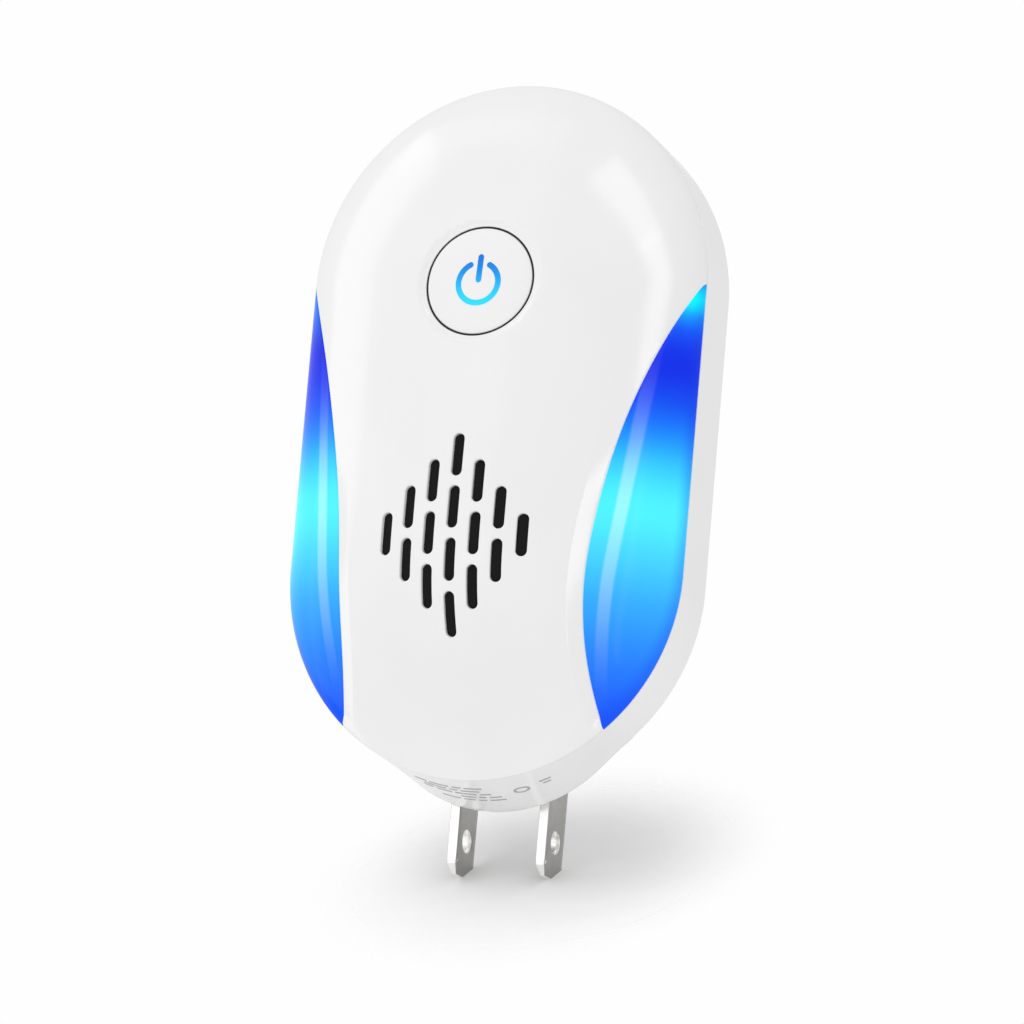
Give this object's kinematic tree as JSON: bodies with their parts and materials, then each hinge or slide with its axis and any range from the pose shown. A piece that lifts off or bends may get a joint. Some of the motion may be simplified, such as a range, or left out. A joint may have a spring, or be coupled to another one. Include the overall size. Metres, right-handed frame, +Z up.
{
  "type": "ultrasonic pest repeller",
  "caption": "Plug-in pest repeller: tall rounded white case with glowing side lenses, round push button, diamond slot grille and a fold-out two-blade plug.",
  "frame": {"origin": "on the back face that lies against the wall, in the middle of the case's width and height", "axes": "+Z up along the case, +Y into the wall, out of the back face; the front of the case is towards -Y and +X is to the right as the front is seen"},
  "size_m": [0.056, 0.0326, 0.1049],
  "materials": {
    "case_white": "moulded ABS, high gloss",
    "lens_blue": "moulded polycarbonate, lit from inside",
    "icon_blue": "moulded acrylic light pipe",
    "black_rubber": "moulded silicone",
    "black_cloth": "woven acoustic cloth",
    "grey_plastic": "moulded",
    "white_plastic": "moulded, milky",
    "brass": "stamped",
    "board_green": "glass-filled epoxy with solder mask",
    "ferrite": "sintered",
    "copper": "enamelled winding with tape",
    "film_yellow": "moulded case",
    "can_blue": "sleeved can",
    "fuse_tan": "coated",
    "blade_nickel": "nickel-plated brass",
    "steel": "zinc-plated",
    "wire_red": "insulated",
    "wire_black": "insulated"
  },
  "bodies": {
    "housing": {"front_shell": "case_white", "rear_shell": "case_white", "lens_left": "lens_blue", "lens_right": "lens_blue", "grille_cloth": "black_cloth", "speaker_frame": "grey_plastic", "piezo_disc": "brass", "speaker_cover": "grey_plastic", "speaker_wires": "wire_black", "circuit_board": "board_green", "switch_body": "grey_plastic", "button_light": "white_plastic", "side_lights_left": "white_plastic", "side_lights_right": "white_plastic", "light_guide_left": "white_plastic", "light_guide_right": "white_plastic", "controller_chip": "grey_plastic", "transformer_core": "ferrite", "transformer_coil": "copper", "film_capacitor": "film_yellow", "smoothing_capacitor": "can_blue", "bridge_rectifier": "grey_plastic", "fuse": "fuse_tan", "contact_left": "brass", "contact_right": "brass", "mains_wire_left": "wire_black", "mains_wire_right": "wire_red", "hinge_cap_left": "case_white", "hinge_cap_right": "case_white", "detent_spring": "steel", "case_screws": "steel", "board_screws": "steel", "cap_screws": "steel"},
    "plug": {"plug_carrier": "case_white", "blade_left": "blade_nickel", "blade_right": "blade_nickel"},
    "button": {"button_cap": "case_white", "button_ring": "black_rubber", "power_icon": "icon_blue"},
    "plunger": {"switch_plunger": "white_plastic"}
  },
  "joints": [
    {"name": "plug_swing", "type": "hinge", "parent": "housing", "child": "plug", "pos_m": [0, -0.0043, -0.0356], "axis": [1, 0, 0], "range_deg": [0, 90]},
    {"name": "button_press", "type": "slide", "parent": "housing", "child": "button", "axis": [0, 1, 0], "range_m": [0, 0.0005], "stiffness_N_per_m": 150},
    {"name": "plunger_press", "type": "slide", "parent": "housing", "child": "plunger", "axis": [0, 1, 0], "range_m": [0, 0.0005]}
  ],
  "couplings": [
    {"joint": "plunger_press", "follows": "button_press", "ratio": 1}
  ]
}
